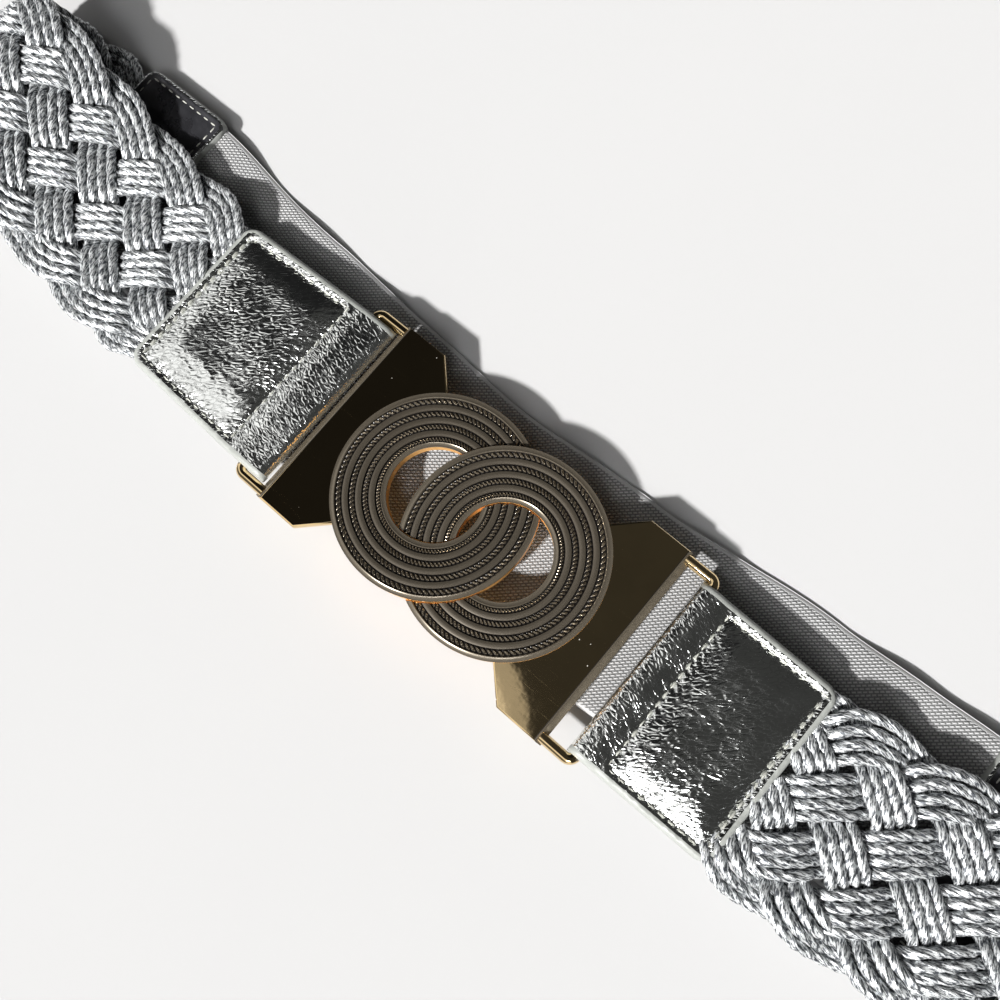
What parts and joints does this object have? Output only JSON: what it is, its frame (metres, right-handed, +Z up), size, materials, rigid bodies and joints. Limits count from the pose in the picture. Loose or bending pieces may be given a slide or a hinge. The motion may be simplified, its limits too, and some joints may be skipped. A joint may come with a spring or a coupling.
{
  "type": "elastic stretch belt with interlocking ring buckle",
  "caption": "Stretch waist belt lying flattened: interlocking ring buckle, silver tabs, plaited cord bands and elastic webbing back.",
  "frame": {"origin": "centre of the bounding box on the floor that the belt lies on, below and beside the buckle", "axes": "+X along the belt towards the ring half whose ring lies on top at the far crossing, +Y across the belt towards the edge where the webbing shows, +Z up"},
  "size_m": [0.3896, 0.071, 0.0215],
  "materials": {
    "gold_plated_casting": "light gold plating, plates polished, ring ridges antiqued",
    "silver_foil_leather": "metallic silver foil over fine pebbled grain, pale painted edges",
    "silver_twisted_cord": "twisted metallic yarn cord",
    "grey_elastic_webbing": "ribbed matt webbing"
  },
  "bodies": {
    "root": {"buckle_half_left": "gold_plated_casting", "buckle_half_right": "gold_plated_casting", "front_tab_left": "silver_foil_leather", "front_tab_right": "silver_foil_leather", "plait_left": "silver_twisted_cord", "plait_right": "silver_twisted_cord", "rear_tab_left": "silver_foil_leather", "rear_tab_right": "silver_foil_leather", "elastic_web": "grey_elastic_webbing"}
  },
  "joints": []
}
